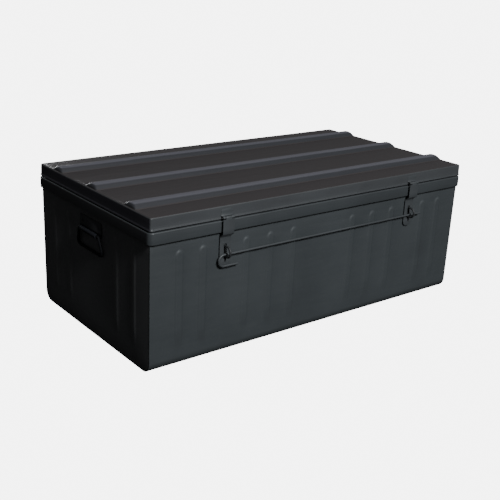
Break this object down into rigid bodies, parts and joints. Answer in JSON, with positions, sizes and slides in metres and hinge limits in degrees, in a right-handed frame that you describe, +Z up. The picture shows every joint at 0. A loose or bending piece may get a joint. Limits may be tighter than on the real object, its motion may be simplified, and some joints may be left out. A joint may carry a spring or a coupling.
{
  "type": "truck tool box",
  "caption": "Steel trunk tool box with a ribbed hinged lid, slotted hasps over staples, a long locking rod and drop handles on the ends.",
  "frame": {"origin": "centre of the flat bottom face that the box stands on", "axes": "+X along the length, to the right as seen from the hasp side; +Y towards the hinges at the back; +Z up"},
  "size_m": [0.9196, 0.5117, 0.341],
  "materials": {
    "black_paint": "satin",
    "black_paint_ends": "satin",
    "pin_steel": "dull"
  },
  "bodies": {
    "trunk": {"body_wrap": "black_paint", "end_panel_left": "black_paint_ends", "end_panel_right": "black_paint_ends", "rim_collar": "black_paint", "handle_bracket_left": "black_paint_ends", "handle_bracket_right": "black_paint_ends", "hinge_body_leaf_left": "black_paint", "hinge_body_leaf_middle": "black_paint", "hinge_body_leaf_right": "black_paint", "rivet_handle_left_a": "black_paint", "rivet_handle_left_b": "black_paint", "rivet_handle_right_a": "black_paint", "rivet_handle_right_b": "black_paint", "rivet_hinge_body_left_a": "black_paint", "rivet_hinge_body_left_b": "black_paint", "rivet_hinge_body_middle_a": "black_paint", "rivet_hinge_body_middle_b": "black_paint", "rivet_hinge_body_right_a": "black_paint", "rivet_hinge_body_right_b": "black_paint", "staple_left": "black_paint", "staple_right": "black_paint"},
    "lid": {"lid": "black_paint", "hasp_pin_left": "pin_steel", "hasp_pin_right": "pin_steel", "hasp_plate_left": "black_paint", "hasp_plate_right": "black_paint", "hinge_lid_leaf_left": "black_paint", "hinge_lid_leaf_middle": "black_paint", "hinge_lid_leaf_right": "black_paint", "hinge_pin_left": "pin_steel", "hinge_pin_middle": "pin_steel", "hinge_pin_right": "pin_steel", "rivet_hinge_lid_left_a": "black_paint", "rivet_hinge_lid_left_b": "black_paint", "rivet_hinge_lid_middle_a": "black_paint", "rivet_hinge_lid_middle_b": "black_paint", "rivet_hinge_lid_right_a": "black_paint", "rivet_hinge_lid_right_b": "black_paint"},
    "hasp_left": {"hasp_strap_left": "black_paint"},
    "hasp_right": {"hasp_strap_right": "black_paint"},
    "lock_rod": {"lock_rod": "black_paint"},
    "handle_left": {"handle_bail_left": "black_paint_ends"},
    "handle_right": {"handle_bail_right": "black_paint_ends"}
  },
  "joints": [
    {"name": "lid_hinge", "type": "hinge", "parent": "trunk", "child": "lid", "pos_m": [0, 0.2475, 0.3025], "axis": [-1, 0, 0], "range_deg": [0, 110]},
    {"name": "hasp_left_hinge", "type": "hinge", "parent": "lid", "child": "hasp_left", "pos_m": [-0.273, -0.247, 0.308], "axis": [-1, 0, 0], "range_deg": [0, 180]},
    {"name": "hasp_right_hinge", "type": "hinge", "parent": "lid", "child": "hasp_right", "pos_m": [0.273, -0.247, 0.308], "axis": [-1, 0, 0], "range_deg": [0, 180]},
    {"name": "lock_rod_slide", "type": "slide", "parent": "trunk", "child": "lock_rod", "axis": [-1, 0, 0], "range_m": [0, 0.6]},
    {"name": "handle_left_hinge", "type": "hinge", "parent": "trunk", "child": "handle_left", "pos_m": [-0.4545, 0, 0.236], "axis": [0, 1, 0], "range_deg": [0, 165]},
    {"name": "handle_right_hinge", "type": "hinge", "parent": "trunk", "child": "handle_right", "pos_m": [0.4545, 0, 0.236], "axis": [0, -1, 0], "range_deg": [0, 165]}
  ]
}
